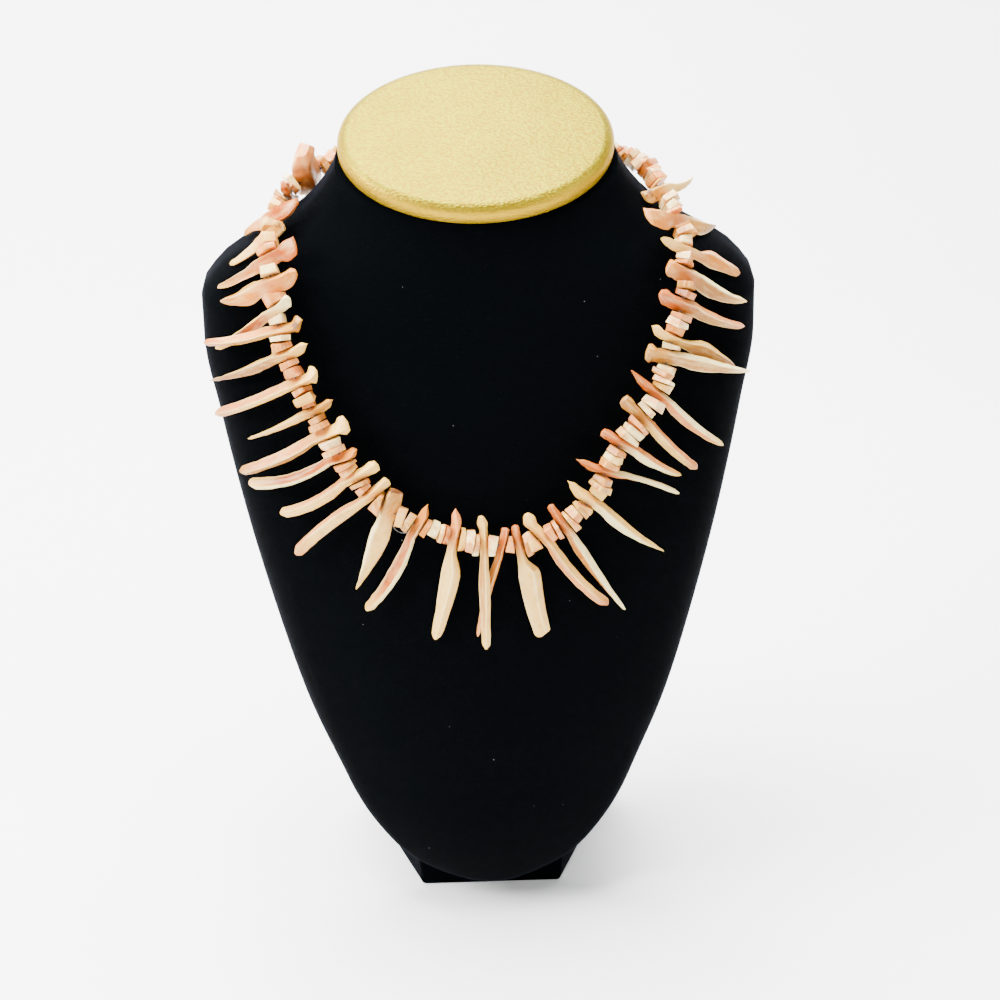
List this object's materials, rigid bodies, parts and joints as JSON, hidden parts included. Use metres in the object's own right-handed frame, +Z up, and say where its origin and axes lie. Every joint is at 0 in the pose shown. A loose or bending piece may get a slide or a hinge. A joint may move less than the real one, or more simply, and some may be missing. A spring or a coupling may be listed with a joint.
{
  "type": "shell necklace on a neck bust stand",
  "caption": "Necklace of drilled shell tusks and small shell chips on a thread, worn on a dark velvet neck bust with a gold padded oval cap.",
  "frame": {"origin": "middle of the foot's sole", "axes": "+Z up, -Y towards the front of the necklace, -X towards the viewer's left"},
  "size_m": [0.1956, 0.112, 0.3031],
  "materials": {
    "velvet": "near-black velvet over a hard form",
    "gold_leatherette": "pebbled gold leatherette over padding",
    "thread": "clear grey monofilament",
    "clasp_metal": "plain satin barrel",
    "shell_cream": "ground and polished shell, cream",
    "shell_peach": "ground and polished shell, peach",
    "shell_ochre": "ground and polished shell, ochre",
    "shell_pink": "broken shell chips, pale pink"
  },
  "bodies": {
    "root": {"bust_form": "velvet", "neck_cap": "gold_leatherette", "foot": "velvet", "thread": "thread", "barrel_clasp": "clasp_metal", "tusk_01": "shell_cream", "tusk_02": "shell_ochre", "tusk_03": "shell_peach", "tusk_04": "shell_cream", "tusk_05": "shell_peach", "tusk_06": "shell_peach", "tusk_07": "shell_peach", "tusk_08": "shell_cream", "tusk_09": "shell_ochre", "tusk_10": "shell_cream", "tusk_11": "shell_cream", "tusk_12": "shell_cream", "tusk_13": "shell_peach", "tusk_14": "shell_cream", "tusk_15": "shell_peach", "tusk_16": "shell_ochre", "tusk_17": "shell_peach", "tusk_18": "shell_cream", "tusk_19": "shell_cream", "tusk_20": "shell_peach", "tusk_21": "shell_peach", "tusk_22": "shell_peach", "tusk_23": "shell_cream", "tusk_24": "shell_cream", "tusk_25": "shell_cream", "tusk_26": "shell_cream", "tusk_27": "shell_cream", "tusk_28": "shell_peach", "tusk_29": "shell_cream", "tusk_30": "shell_cream", "tusk_31": "shell_ochre", "tusk_32": "shell_peach", "tusk_33": "shell_peach", "tusk_34": "shell_peach", "tusk_35": "shell_cream", "chips_left": "shell_pink", "chips_right": "shell_pink"}
  },
  "joints": []
}
